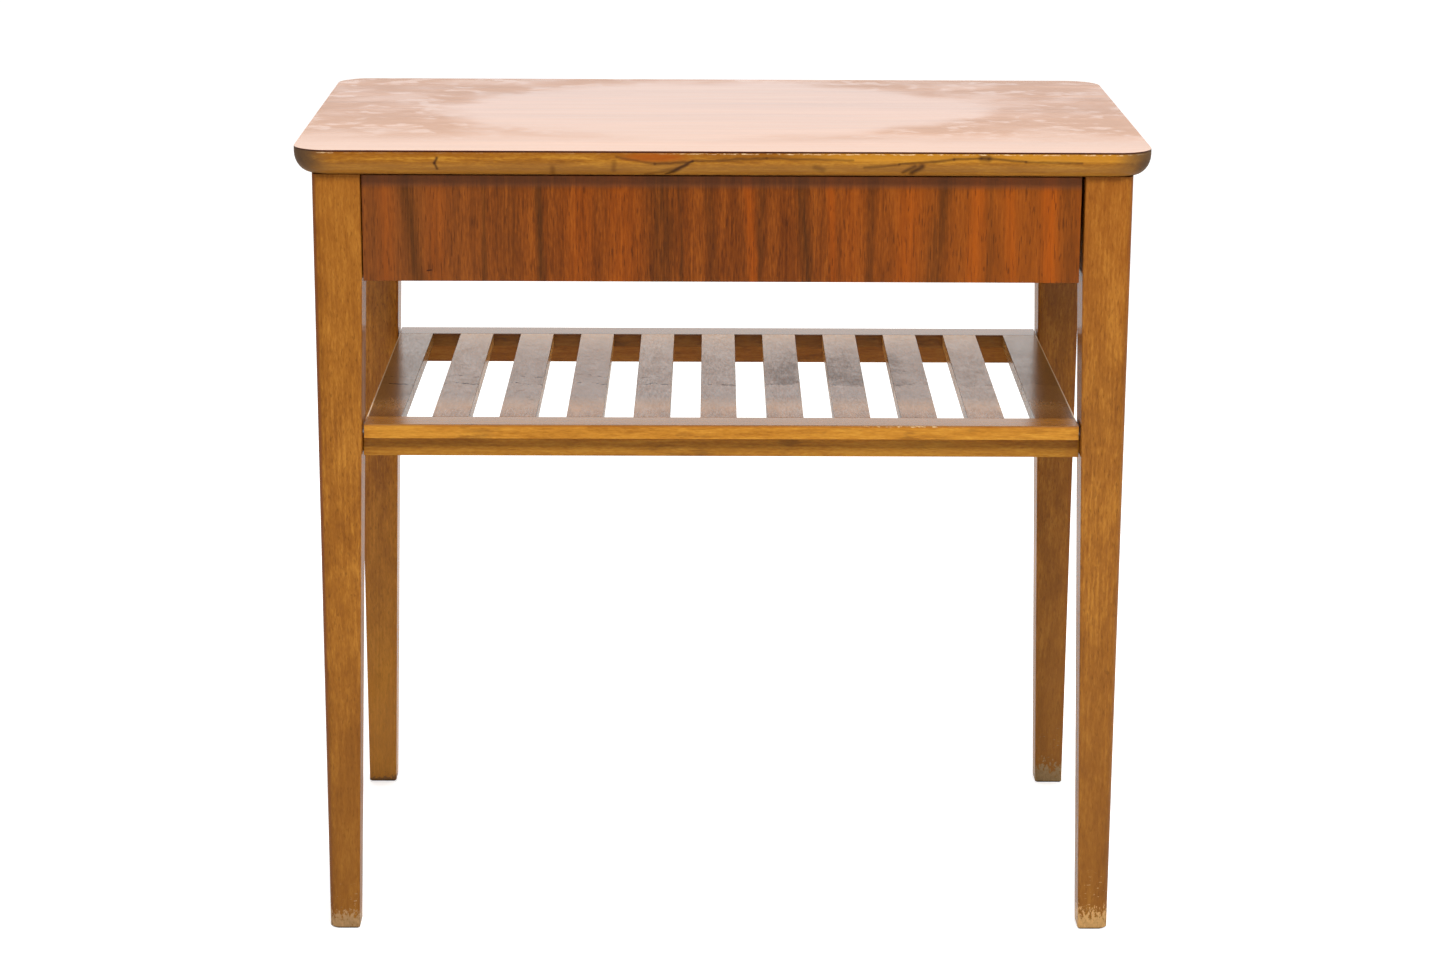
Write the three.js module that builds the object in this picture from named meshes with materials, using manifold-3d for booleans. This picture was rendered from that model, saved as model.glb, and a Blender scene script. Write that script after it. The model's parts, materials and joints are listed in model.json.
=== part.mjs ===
// Side table with one drawer and a slatted magazine shelf.
// Millimetres. +X is the long side, -Y the front, +Z up. The origin is on the floor, midway between the legs.
import * as THREE from "three";
import { mergeVertices } from "three/addons/utils/BufferGeometryUtils.js";
import Module from "manifold-3d";

// ---------------------------------------------------------------- driving dimensions

const HEIGHT = 580;

const TOP = {
  width: 600,
  depth: 360,
  veneer: 0.75,
  core: 17,
  lippingWidth: 22,
  cornerRadius: 25,
  edgeFlat: 4, // upright part of the edge, measured from the top surface
  curveIn: 12, // how far the rounded edge runs in underneath
};

const LEG = {
  spanX: 574, // over the outer faces
  spanY: 342,
  size: 34, // square section beside the aprons
  footSize: 22,
  outerRadius: 7,
  arrisRadius: 1.5,
  footChamfer: 1,
};

const APRON = {
  bottom: 485.5, // the legs start to taper here
  thickness: 18,
  setBack: 3, // behind the outer faces of the legs
  tenonThickness: 8,
  tenonLength: 16.5,
  tenonShoulder: 10, // wood above and below the tenon
};

const FRONT_RAIL = { front: -147, depth: 40, thickness: 16, legHousing: 12.75 };

const DRAWER = {
  recess: 3.5, // face behind the front faces of the legs
  gapLeft: 0.75,
  gapRight: 2.25,
  gapTop: 1,
  frontCore: 18,
  faceVeneer: 0.75,
  sideThickness: 12,
  sideBottom: 487.5,
  sideHeight: 56,
  rearEnd: 138, // Y of the rear ends of the sides
  tails: 3,
  tailNarrow: 9,
  tailWide: 13,
  bottomThickness: 4,
  bottomUnderside: 494.5,
  bottomGroove: 5,
  backThickness: 12,
  backFront: 120,
  backTop: 540,
  backHousing: 3,
};

const RUNNER = {
  bottom: 511,
  height: 11,
  width: 19.5,
  grooveDepth: 6.5,
  grooveStop: 10, // uncut wood between the drawer front and the groove
  playBelow: 0.75,
};

const SHELF = {
  top: 381.25,
  edgeY: 165.25, // front and rear edges, from the centre
  halfLength: 254.5,
  railWidth: 24,
  railThickness: 10.25,
  slatCount: 9,
  slatWidth: 26.25,
  slatGap: 21.875,
  slatThickness: 10.25,
  slatShift: -1.125, // the slats sit a little left of the middle
  slatSkew: 2, // and their rear ends lie this much further right than their front ends
  squareSide: 1, // the outer sides of the end boards, to this depth, stay square
  tenonLength: 6,
  tenonThickness: 4,
  tenonInset: 3,
};

const STRETCHER = {
  height: 14,
  thickness: 12,
  setBack: 5.75, // behind the edge of the shelf
  halfLength: 255.5,
  tenonThickness: 6,
  tenonHeight: 9,
  tenonLength: 14,
};

const BLOCK = { section: 18, thin: 12, length: 60, backX: 130 };

const STOP = { length: 16, height: 20, bottom: 525, fromLeg: 1 };

// sink is how far a screw's head lies below the wood, place how far it is from the middle of the table.
const SCREW = { headRadius: 3.75, headHeight: 3, shankRadius: 1.75, tip: 5, slotWidth: 1, slotDepth: 1.1 };
const TOP_SCREW = { length: 28, sink: 1, place: 170 };
const RUNNER_SCREW = { length: 30, sink: 1, place: 95 };
const SHELF_SCREW = { length: 20, sink: 0.5, place: 175 };

const GLUE_GAP = 0.15; // all round a tenon in its mortise, and round a screw in its hole
const BLIND_GAP = 0.5; // at the end of a tenon
const SLIDE_GAP = 0.25; // between a moving face and its guide
const OPEN = 3; // how far a cutter runs out past the face that it opens
const REACH = 400; // further than any part of the table

const CORNER_SEGMENTS = 8; // in each quarter round of the top
const EDGE_STEPS = 8; // down the rounded edge of the top
const LEG_SEGMENTS = 4; // in each rounded corner of a leg
const SCREW_SEGMENTS = 12;

// ---------------------------------------------------------------- derived levels and planes

const SLAB = TOP.core + 2 * TOP.veneer;
const UNDERSIDE = HEIGHT - SLAB;
const LEG_OUTER_X = LEG.spanX / 2;
const LEG_OUTER_Y = LEG.spanY / 2;
const LEG_INNER_X = LEG_OUTER_X - LEG.size;
const LEG_INNER_Y = LEG_OUTER_Y - LEG.size;
const APRON_OUTER_X = LEG_OUTER_X - APRON.setBack;
const APRON_INNER_X = APRON_OUTER_X - APRON.thickness;
const APRON_OUTER_Y = LEG_OUTER_Y - APRON.setBack;
const APRON_INNER_Y = APRON_OUTER_Y - APRON.thickness;
const FACE_Y = -LEG_OUTER_Y + DRAWER.recess;
const FRONT_CORE_Y = FACE_Y + DRAWER.faceVeneer;
const FRONT_BACK_Y = FRONT_CORE_Y + DRAWER.frontCore;
const DRAWER_LEFT = -LEG_INNER_X + DRAWER.gapLeft;
const DRAWER_RIGHT = LEG_INNER_X - DRAWER.gapRight;
const DRAWER_TOP = UNDERSIDE - DRAWER.gapTop;
const SIDE_TOP = DRAWER.sideBottom + DRAWER.sideHeight;
const RAIL_INNER_Y = SHELF.edgeY - SHELF.railWidth;
const SHELF_BOTTOM = SHELF.top - SHELF.railThickness;
const STRETCHER_BOTTOM = SHELF_BOTTOM - STRETCHER.height;
const STRETCHER_OUTER_Y = SHELF.edgeY - STRETCHER.setBack;
const STRETCHER_INNER_Y = STRETCHER_OUTER_Y - STRETCHER.thickness;
const STRETCHER_MID_Y = (STRETCHER_OUTER_Y + STRETCHER_INNER_Y) / 2;

// ---------------------------------------------------------------- materials

const finish = (color, roughness, metalness = 0) =>
  new THREE.MeshStandardMaterial({ color, roughness, metalness });

const FINISH = {
  topVeneer: finish(0x8a4a2c, 0.25),
  faceVeneer: finish(0x7d431f, 0.35),
  lipping: finish(0xa9762f, 0.35),
  leg: finish(0xa9712d, 0.4),
  shelf: finish(0x8c5528, 0.3),
  rawWood: finish(0xc9a878, 0.8),
  plywood: finish(0xc2a06c, 0.8),
  steel: finish(0x8f8a80, 0.4, 1),
};

// ---------------------------------------------------------------- solids and booleans

const wasm = await Module();
wasm.setup();

function solidOf(geometry) {
  const bare = geometry.clone();
  bare.deleteAttribute("normal");
  bare.deleteAttribute("uv");
  const merged = mergeVertices(bare, 1e-4);
  const mesh = new wasm.Mesh({
    numProp: 3,
    vertProperties: merged.attributes.position.array,
    triVerts: new Uint32Array(merged.index.array),
  });
  return new wasm.Manifold(mesh);
}

function geometryOf(solid) {
  const mesh = solid.getMesh();
  const geometry = new THREE.BufferGeometry();
  geometry.setAttribute("position", new THREE.BufferAttribute(mesh.vertProperties, 3));
  geometry.setIndex(new THREE.BufferAttribute(mesh.triVerts, 1));
  geometry.computeVertexNormals();
  return geometry;
}

function join(geometries) {
  const solids = geometries.map(solidOf);
  return geometryOf(solids.reduce((sum, next) => sum.add(next)));
}

function cut(geometry, cutters) {
  const solids = cutters.map(solidOf);
  return geometryOf(solids.reduce((rest, next) => rest.subtract(next), solidOf(geometry)));
}

function common(geometry, other) {
  return geometryOf(solidOf(geometry).intersect(solidOf(other)));
}

// A squared board between two opposite corners, given in either order.
function board(cornerA, cornerB) {
  const low = cornerA.map((value, axis) => Math.min(value, cornerB[axis]));
  const high = cornerA.map((value, axis) => Math.max(value, cornerB[axis]));
  const size = high.map((value, axis) => value - low[axis]);
  const geometry = new THREE.BoxGeometry(...size);
  geometry.translate(...low.map((value, axis) => value + size[axis] / 2));
  return geometry;
}

// The same board, larger by gap on every side: the mortise for a tenon.
function clearanceFor([cornerA, cornerB], gap) {
  const grown = cornerA.map((value, axis) => {
    const outwards = Math.sign(value - cornerB[axis]) * gap;
    return [value + outwards, cornerB[axis] - outwards];
  });
  return board(grown.map((pair) => pair[0]), grown.map((pair) => pair[1]));
}

// A four-sided outline with round corners: [centre x, centre y, radius] of each quarter circle, +X +Y first.
function outlineFromCorners(corners) {
  const shape = new THREE.Shape();
  corners.forEach(([x, y, radius], quarter) => {
    shape.absarc(x, y, radius, (quarter * Math.PI) / 2, ((quarter + 1) * Math.PI) / 2);
  });
  shape.closePath();
  return shape;
}

// Extrudes an outline up through the given heights. moved(x, y, level) says where each level has a point.
function loft(outline, levels, moved, curveSegments) {
  const steps = levels.length - 1;
  const geometry = new THREE.ExtrudeGeometry(outline, {
    depth: steps,
    steps,
    bevelEnabled: false,
    curveSegments,
  });
  const position = geometry.attributes.position;
  for (let i = 0; i < position.count; i++) {
    const level = Math.round(position.getZ(i));
    const [x, y] = moved(position.getX(i), position.getY(i), level);
    position.setXYZ(i, x, y, levels[level]);
  }
  return geometry;
}

// ---------------------------------------------------------------- screws

function screwProfile(length, gap) {
  const head = SCREW.headRadius + gap;
  const shank = SCREW.shankRadius + gap;
  return [
    new THREE.Vector2(0, 0),
    new THREE.Vector2(head, 0),
    new THREE.Vector2(shank, -SCREW.headHeight),
    new THREE.Vector2(shank, -(length - SCREW.tip)),
    new THREE.Vector2(0, -length - gap),
  ].reverse();
}

// A countersunk slotted screw: its head's face is at the origin and it points down -Y.
function screwBody(length) {
  const turned = new THREE.LatheGeometry(screwProfile(length, 0), SCREW_SEGMENTS);
  const slot = board(
    [-SCREW.headRadius - OPEN, -SCREW.slotDepth, -SCREW.slotWidth / 2],
    [SCREW.headRadius + OPEN, OPEN, SCREW.slotWidth / 2],
  );
  return cut(turned, [slot]);
}

// The hole for that screw, with the straight countersink above its sunk head.
function screwHole(length, sink) {
  const hole = new THREE.LatheGeometry(screwProfile(length, GLUE_GAP), SCREW_SEGMENTS);
  const mouthRadius = SCREW.headRadius + GLUE_GAP;
  const mouth = new THREE.CylinderGeometry(mouthRadius, mouthRadius, sink + OPEN, SCREW_SEGMENTS);
  mouth.translate(0, (sink + OPEN) / 2, 0);
  return join([hole, mouth]);
}

// Each screw is stated by where its axis meets the wood and which way it drives.
function placedScrew({ at, towards, length, sink }) {
  const turn = new THREE.Quaternion().setFromUnitVectors(
    new THREE.Vector3(0, -1, 0),
    new THREE.Vector3(...towards),
  );
  const place = new THREE.Vector3(...at).addScaledVector(new THREE.Vector3(...towards), sink);
  return new THREE.Matrix4().compose(place, turn, new THREE.Vector3(1, 1, 1));
}

const screwGeometry = (screw) => screwBody(screw.length).applyMatrix4(placedScrew(screw));
const holeGeometry = (screw) => screwHole(screw.length, screw.sink).applyMatrix4(placedScrew(screw));
const holesFor = (screws) => Object.values(screws).map(holeGeometry);

const UP = [0, 0, 1];
const BLOCK_BOTTOM = UNDERSIDE - BLOCK.section;
const blockMidX = APRON_INNER_X - BLOCK.thin / 2;
const blockMidY = APRON_INNER_Y - BLOCK.section / 2;
const topScrew = (x, y, z) => ({ at: [x, y, z], towards: UP, ...TOP_SCREW });
const railScrewY = FRONT_RAIL.front + FRONT_RAIL.depth / 2;

const TOP_SCREWS = {
  top_screw_block_left: topScrew(-blockMidX, 0, BLOCK_BOTTOM),
  top_screw_block_right: topScrew(blockMidX, 0, BLOCK_BOTTOM),
  top_screw_block_back_left: topScrew(-BLOCK.backX, blockMidY, BLOCK_BOTTOM),
  top_screw_block_back_right: topScrew(BLOCK.backX, blockMidY, BLOCK_BOTTOM),
  top_screw_rail_left: topScrew(-TOP_SCREW.place, railScrewY, UNDERSIDE - FRONT_RAIL.thickness),
  top_screw_rail_right: topScrew(TOP_SCREW.place, railScrewY, UNDERSIDE - FRONT_RAIL.thickness),
};

const runnerScrew = (side, end) => ({
  at: [side * (APRON_INNER_X - RUNNER.width), end * RUNNER_SCREW.place, RUNNER.bottom + RUNNER.height / 2],
  towards: [side, 0, 0],
  ...RUNNER_SCREW,
});

const RUNNER_SCREWS = {
  runner_screw_left_front: runnerScrew(-1, -1),
  runner_screw_left_rear: runnerScrew(-1, 1),
  runner_screw_right_front: runnerScrew(1, -1),
  runner_screw_right_rear: runnerScrew(1, 1),
};

const shelfScrew = (side, end) => ({
  at: [side * SHELF_SCREW.place, end * STRETCHER_MID_Y, STRETCHER_BOTTOM],
  towards: UP,
  ...SHELF_SCREW,
});

const SHELF_SCREWS = {
  shelf_screw_front_left: shelfScrew(-1, -1),
  shelf_screw_front_right: shelfScrew(1, -1),
  shelf_screw_rear_left: shelfScrew(-1, 1),
  shelf_screw_rear_right: shelfScrew(1, 1),
};

// ---------------------------------------------------------------- top

const roundedRectangle = (halfX, halfY, radius) =>
  outlineFromCorners([
    [halfX - radius, halfY - radius, radius],
    [radius - halfX, halfY - radius, radius],
    [radius - halfX, radius - halfY, radius],
    [halfX - radius, radius - halfY, radius],
  ]);

// The whole board under the top veneer, with its edge rounded underneath by a quarter ellipse.
function roundedSlab() {
  const curveHeight = SLAB - TOP.edgeFlat;
  const centreX = TOP.width / 2 - TOP.cornerRadius;
  const centreY = TOP.depth / 2 - TOP.cornerRadius;
  const levels = [];
  const insets = [];
  for (let step = 0; step <= EDGE_STEPS; step++) {
    const angle = (step / EDGE_STEPS) * (Math.PI / 2);
    levels.push(UNDERSIDE + curveHeight * (1 - Math.cos(angle)));
    insets.push(TOP.curveIn * (1 - Math.sin(angle)));
  }
  levels.push(HEIGHT - TOP.veneer);
  insets.push(0);
  const drawnIn = (x, y, level) => {
    const scale = (TOP.cornerRadius - insets[level]) / TOP.cornerRadius;
    const cornerX = Math.sign(x) * centreX;
    const cornerY = Math.sign(y) * centreY;
    return [cornerX + (x - cornerX) * scale, cornerY + (y - cornerY) * scale];
  };
  const outline = roundedRectangle(TOP.width / 2, TOP.depth / 2, TOP.cornerRadius);
  return loft(outline, levels, drawnIn, CORNER_SEGMENTS);
}

const coreX = TOP.width / 2 - TOP.lippingWidth;
const coreY = TOP.depth / 2 - TOP.lippingWidth;

const topCore = () => {
  const core = board([-coreX, -coreY, UNDERSIDE + TOP.veneer], [coreX, coreY, HEIGHT - TOP.veneer]);
  return cut(core, holesFor(TOP_SCREWS));
};

const topVeneer = () => {
  const outline = roundedRectangle(TOP.width / 2, TOP.depth / 2, TOP.cornerRadius);
  const sheet = new THREE.ExtrudeGeometry(outline, {
    depth: TOP.veneer,
    bevelEnabled: false,
    curveSegments: CORNER_SEGMENTS,
  });
  sheet.translate(0, 0, HEIGHT - TOP.veneer);
  return sheet;
};

const backingVeneer = () => {
  const sheet = board([-coreX, -coreY, UNDERSIDE], [coreX, coreY, UNDERSIDE + TOP.veneer]);
  return cut(sheet, holesFor(TOP_SCREWS));
};

// The front and rear lippings run the full width, the side ones fit between them.
const longLipping = (slab, side) =>
  common(slab, board([-REACH, side * coreY, UNDERSIDE - OPEN], [REACH, side * REACH, HEIGHT]));

const shortLipping = (slab, side) =>
  common(slab, board([side * coreX, -coreY, UNDERSIDE - OPEN], [side * REACH, coreY, HEIGHT]));

// ---------------------------------------------------------------- frame

// Tenons, as pairs of corners. side is -1 on the left and 1 on the right, end is -1 in front and 1 behind.
const apronTenonZ = [APRON.bottom + APRON.tenonShoulder, UNDERSIDE - APRON.tenonShoulder];
const apronMidX = (APRON_OUTER_X + APRON_INNER_X) / 2;
const apronMidY = (APRON_OUTER_Y + APRON_INNER_Y) / 2;

const sideApronTenon = (side, end) => [
  [side * apronMidX - APRON.tenonThickness / 2, end * LEG_INNER_Y, apronTenonZ[0]],
  [side * apronMidX + APRON.tenonThickness / 2, end * (LEG_INNER_Y + APRON.tenonLength), apronTenonZ[1]],
];

const backApronTenon = (side) => [
  [side * LEG_INNER_X, apronMidY - APRON.tenonThickness / 2, apronTenonZ[0]],
  [side * (LEG_INNER_X + APRON.tenonLength), apronMidY + APRON.tenonThickness / 2, apronTenonZ[1]],
];

const stretcherTenon = (side, end) => {
  const middleZ = STRETCHER_BOTTOM + STRETCHER.height / 2;
  const halfHeight = STRETCHER.tenonHeight / 2;
  const halfThickness = STRETCHER.tenonThickness / 2;
  return [
    [side * STRETCHER.halfLength, end * STRETCHER_MID_Y - halfThickness, middleZ - halfHeight],
    [
      side * (STRETCHER.halfLength + STRETCHER.tenonLength),
      end * STRETCHER_MID_Y + halfThickness,
      middleZ + halfHeight,
    ],
  ];
};

// A mortise is its tenon's box with a glue gap, a little deeper, and open past the face of the leg.
function mortiseFor([root, tip], axis) {
  const along = Math.sign(tip[axis] - root[axis]);
  const opened = [...root];
  const deeper = [...tip];
  opened[axis] -= along * OPEN;
  deeper[axis] += along * (BLIND_GAP - GLUE_GAP);
  return clearanceFor([opened, deeper], GLUE_GAP);
}

// A leg drawn in the corner x > 0, y > 0, then mirrored by its sides.
function legBlank(side, end) {
  const { outerRadius, arrisRadius } = LEG;
  const corners = [
    [LEG_OUTER_X - outerRadius, LEG_OUTER_Y - outerRadius, outerRadius],
    [LEG_INNER_X + arrisRadius, LEG_OUTER_Y - arrisRadius, arrisRadius],
    [LEG_INNER_X + arrisRadius, LEG_INNER_Y + arrisRadius, arrisRadius],
    [LEG_OUTER_X - arrisRadius, LEG_INNER_Y + arrisRadius, arrisRadius],
  ];
  const outline = outlineFromCorners(corners);

  const levels = [0, LEG.footChamfer, APRON.bottom, UNDERSIDE];
  const taper = (LEG.size - LEG.footSize) / APRON.bottom;
  const middleX = (LEG_OUTER_X + LEG_INNER_X) / 2;
  const middleY = (LEG_OUTER_Y + LEG_INNER_Y) / 2;
  const tapered = (x, y, level) => {
    const drawnIn = taper * Math.max(0, APRON.bottom - levels[level]);
    const eased = level === 0 ? LEG.footChamfer : 0;
    const moveX = x < middleX ? drawnIn + eased : -eased;
    const moveY = y < middleY ? drawnIn + eased : -eased;
    return [x + moveX, y + moveY];
  };
  const geometry = loft(outline, levels, tapered, LEG_SEGMENTS);
  geometry.scale(side, end, 1);
  return side * end < 0 ? facesTurned(geometry) : geometry;
}

// Swaps two corners of each triangle, which a mirrored geometry needs to face outwards.
function facesTurned(geometry) {
  const position = geometry.attributes.position;
  const turned = position.clone();
  for (let i = 0; i < position.count; i += 3) {
    turned.setXYZ(i + 1, position.getX(i + 2), position.getY(i + 2), position.getZ(i + 2));
    turned.setXYZ(i + 2, position.getX(i + 1), position.getY(i + 1), position.getZ(i + 1));
  }
  geometry.setAttribute("position", turned);
  return geometry;
}

// The housing at the top of a front leg for the corner of the front rail.
const railHousing = (side) =>
  board(
    [side * (LEG_INNER_X - OPEN), FRONT_RAIL.front - GLUE_GAP, UNDERSIDE - FRONT_RAIL.thickness - GLUE_GAP],
    [side * (LEG_INNER_X + FRONT_RAIL.legHousing + GLUE_GAP), -LEG_INNER_Y + OPEN, UNDERSIDE + OPEN],
  );

function leg(side, end) {
  const cutters = [
    mortiseFor(sideApronTenon(side, end), 1),
    mortiseFor(stretcherTenon(side, end), 0),
    end > 0 ? mortiseFor(backApronTenon(side), 0) : railHousing(side),
  ];
  return cut(legBlank(side, end), cutters);
}

function sideApron(side) {
  const panel = board(
    [side * APRON_INNER_X, -LEG_INNER_Y, APRON.bottom],
    [side * APRON_OUTER_X, LEG_INNER_Y, UNDERSIDE],
  );
  const tenons = [-1, 1].map((end) => board(...sideApronTenon(side, end)));
  return cut(join([panel, ...tenons]), holesFor(RUNNER_SCREWS));
}

function backApron() {
  const panel = board(
    [-LEG_INNER_X, APRON_INNER_Y, APRON.bottom],
    [LEG_INNER_X, APRON_OUTER_Y, UNDERSIDE],
  );
  const tenons = [-1, 1].map((side) => board(...backApronTenon(side)));
  return join([panel, ...tenons]);
}

// A flat board between the side aprons whose front corners are let into the front legs.
function frontTopRail() {
  const halfLength = LEG_INNER_X + FRONT_RAIL.legHousing;
  const rail = board(
    [-halfLength, FRONT_RAIL.front, UNDERSIDE - FRONT_RAIL.thickness],
    [halfLength, FRONT_RAIL.front + FRONT_RAIL.depth, UNDERSIDE],
  );
  return cut(rail, holesFor(TOP_SCREWS));
}

const sideBlock = (side) => {
  const block = board(
    [side * APRON_INNER_X, -BLOCK.length / 2, BLOCK_BOTTOM],
    [side * (APRON_INNER_X - BLOCK.thin), BLOCK.length / 2, UNDERSIDE],
  );
  return cut(block, holesFor(TOP_SCREWS));
};

const backBlock = (side) => {
  const block = board(
    [side * BLOCK.backX - BLOCK.length / 2, APRON_INNER_Y, BLOCK_BOTTOM],
    [side * BLOCK.backX + BLOCK.length / 2, APRON_INNER_Y - BLOCK.section, UNDERSIDE],
  );
  return cut(block, holesFor(TOP_SCREWS));
};

const runner = (side) => {
  const strip = board(
    [side * APRON_INNER_X, -LEG_INNER_Y + SLIDE_GAP, RUNNER.bottom],
    [side * (APRON_INNER_X - RUNNER.width), LEG_INNER_Y - SLIDE_GAP, RUNNER.bottom + RUNNER.height],
  );
  return cut(strip, holesFor(RUNNER_SCREWS));
};

// A block on the back apron that the rear end of a drawer side comes up against.
const drawerStop = (side) =>
  board(
    [side * (LEG_INNER_X - STOP.fromLeg), APRON_INNER_Y, STOP.bottom],
    [
      side * (LEG_INNER_X - STOP.fromLeg - STOP.length),
      DRAWER.rearEnd + SLIDE_GAP,
      STOP.bottom + STOP.height,
    ],
  );

// ---------------------------------------------------------------- magazine shelf

const slatPitch = SHELF.slatWidth + SHELF.slatGap;
const slatSpan = SHELF.slatCount * slatPitch + SHELF.slatGap;
const slatLeft = (index) => SHELF.slatShift - slatSpan / 2 + SHELF.slatGap + index * slatPitch;

// The left and right edges of every board between the rails, end boards first.
const crossBoards = {
  shelf_end_left: [-SHELF.halfLength, SHELF.slatShift - slatSpan / 2],
  shelf_end_right: [SHELF.slatShift + slatSpan / 2, SHELF.halfLength],
};
for (let index = 0; index < SHELF.slatCount; index++) {
  crossBoards[`shelf_slat_${index + 1}`] = [slatLeft(index), slatLeft(index) + SHELF.slatWidth];
}

const crossTenon = ([left, right], end) => {
  const bottom = SHELF.top - (SHELF.slatThickness + SHELF.tenonThickness) / 2;
  return [
    [left + SHELF.tenonInset, end * RAIL_INNER_Y, bottom],
    [right - SHELF.tenonInset, end * (RAIL_INNER_Y + SHELF.tenonLength), bottom + SHELF.tenonThickness],
  ];
};

// Slants a board between the rails, or its mortise, by the skew of the slats.
function askew(geometry) {
  const position = geometry.attributes.position;
  for (let i = 0; i < position.count; i++) {
    const x = position.getX(i);
    if (Math.abs(x) < SHELF.halfLength - SHELF.squareSide) {
      position.setX(i, x + (SHELF.slatSkew * position.getY(i)) / (2 * RAIL_INNER_Y));
    }
  }
  return geometry;
}

function crossBoard(edges) {
  const slat = board(
    [edges[0], -RAIL_INNER_Y, SHELF.top - SHELF.slatThickness],
    [edges[1], RAIL_INNER_Y, SHELF.top],
  );
  const tenons = [-1, 1].map((end) => board(...crossTenon(edges, end)));
  return join([slat, ...tenons].map(askew));
}

function shelfRail(end) {
  const rail = board(
    [-SHELF.halfLength, end * RAIL_INNER_Y, SHELF_BOTTOM],
    [SHELF.halfLength, end * SHELF.edgeY, SHELF.top],
  );
  const mortises = Object.values(crossBoards).map((edges) => askew(mortiseFor(crossTenon(edges, end), 1)));
  return cut(rail, [...mortises, ...holesFor(SHELF_SCREWS)]);
}

function stretcher(end) {
  const bar = board(
    [-STRETCHER.halfLength, end * STRETCHER_INNER_Y, STRETCHER_BOTTOM],
    [STRETCHER.halfLength, end * STRETCHER_OUTER_Y, SHELF_BOTTOM],
  );
  const tenons = [-1, 1].map((side) => board(...stretcherTenon(side, end)));
  return cut(join([bar, ...tenons]), holesFor(SHELF_SCREWS));
}

// ---------------------------------------------------------------- drawer

// One dovetail on the front end of a drawer side, drawn in Y and Z, grown by gap for its socket.
function tailOutline(index, gap) {
  const pitch = DRAWER.sideHeight / DRAWER.tails;
  const middle = DRAWER.sideBottom + pitch * (index + 0.5);
  const root = FRONT_BACK_Y + OPEN;
  const tip = FRONT_BACK_Y - DRAWER.sideThickness;
  const narrow = DRAWER.tailNarrow / 2 + gap;
  const wide = DRAWER.tailWide / 2 + gap;
  return new THREE.Shape([
    new THREE.Vector2(root, middle - narrow),
    new THREE.Vector2(root, middle + narrow),
    new THREE.Vector2(tip - gap, middle + wide),
    new THREE.Vector2(tip - gap, middle - wide),
  ]);
}

// Extrudes a YZ outline from one X to another.
function extrudeAlongX(outline, fromX, toX) {
  const geometry = new THREE.ExtrudeGeometry(outline, { depth: toX - fromX, bevelEnabled: false });
  geometry.applyMatrix4(new THREE.Matrix4().makeBasis(
    new THREE.Vector3(0, 1, 0),
    new THREE.Vector3(0, 0, 1),
    new THREE.Vector3(1, 0, 0),
  ));
  geometry.translate(fromX, 0, 0);
  return geometry;
}

const tailIndices = [...Array(DRAWER.tails).keys()];

// The X range of a drawer side, from its lower to its higher face.
const sideRange = (side) =>
  side < 0
    ? [DRAWER_LEFT, DRAWER_LEFT + DRAWER.sideThickness]
    : [DRAWER_RIGHT - DRAWER.sideThickness, DRAWER_RIGHT];

const SIDE_INNER = { left: sideRange(-1)[1], right: sideRange(1)[0] };

// The bottom panel lies in grooves in both sides and the front, and runs out under the back.
const bottomPanel = [
  [
    SIDE_INNER.left - DRAWER.bottomGroove,
    FRONT_BACK_Y - DRAWER.bottomGroove,
    DRAWER.bottomUnderside,
  ],
  [
    SIDE_INNER.right + DRAWER.bottomGroove,
    DRAWER.rearEnd - SLIDE_GAP,
    DRAWER.bottomUnderside + DRAWER.bottomThickness,
  ],
];

const backBoard = [
  [
    SIDE_INNER.left - DRAWER.backHousing,
    DRAWER.backFront,
    DRAWER.bottomUnderside + DRAWER.bottomThickness + SLIDE_GAP,
  ],
  [
    SIDE_INNER.right + DRAWER.backHousing,
    DRAWER.backFront + DRAWER.backThickness,
    DRAWER.backTop,
  ],
];

// The groove is open at the rear ends of the sides, the housing for the back at their top edges.
function bottomGroove() {
  const [low, [right, rear, high]] = bottomPanel;
  return clearanceFor([low, [right, rear + OPEN, high]], GLUE_GAP);
}

function backHousing() {
  const [low, [right, rear]] = backBoard;
  return clearanceFor([low, [right, rear, SIDE_TOP + OPEN]], GLUE_GAP);
}

function drawerFrontCore() {
  const slab = board(
    [DRAWER_LEFT, FRONT_CORE_Y, APRON.bottom],
    [DRAWER_RIGHT, FRONT_BACK_Y, DRAWER_TOP],
  );
  const sockets = [-1, 1].flatMap((side) => {
    const [lower, higher] = sideRange(side);
    const fromX = side < 0 ? lower - OPEN : lower - GLUE_GAP;
    const toX = side < 0 ? higher + GLUE_GAP : higher + OPEN;
    return tailIndices.map((index) => extrudeAlongX(tailOutline(index, GLUE_GAP), fromX, toX));
  });
  return cut(slab, [...sockets, bottomGroove()]);
}

const drawerFaceVeneer = () =>
  board([DRAWER_LEFT, FACE_Y, APRON.bottom], [DRAWER_RIGHT, FRONT_CORE_Y, DRAWER_TOP]);

function drawerSide(side) {
  const [lower, higher] = sideRange(side);
  const panel = board([lower, FRONT_BACK_Y, DRAWER.sideBottom], [higher, DRAWER.rearEnd, SIDE_TOP]);
  const tails = tailIndices.map((index) => extrudeAlongX(tailOutline(index, 0), lower, higher));
  const outer = side < 0 ? lower : higher;
  const runnerGroove = board(
    [outer + side * OPEN, FRONT_BACK_Y + RUNNER.grooveStop, RUNNER.bottom - RUNNER.playBelow],
    [outer - side * RUNNER.grooveDepth, DRAWER.rearEnd + OPEN, RUNNER.bottom + RUNNER.height + SLIDE_GAP],
  );
  return cut(join([panel, ...tails]), [runnerGroove, bottomGroove(), backHousing()]);
}

const drawerBack = () => board(...backBoard);
const drawerBottom = () => board(...bottomPanel);

// ---------------------------------------------------------------- assembly

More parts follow.
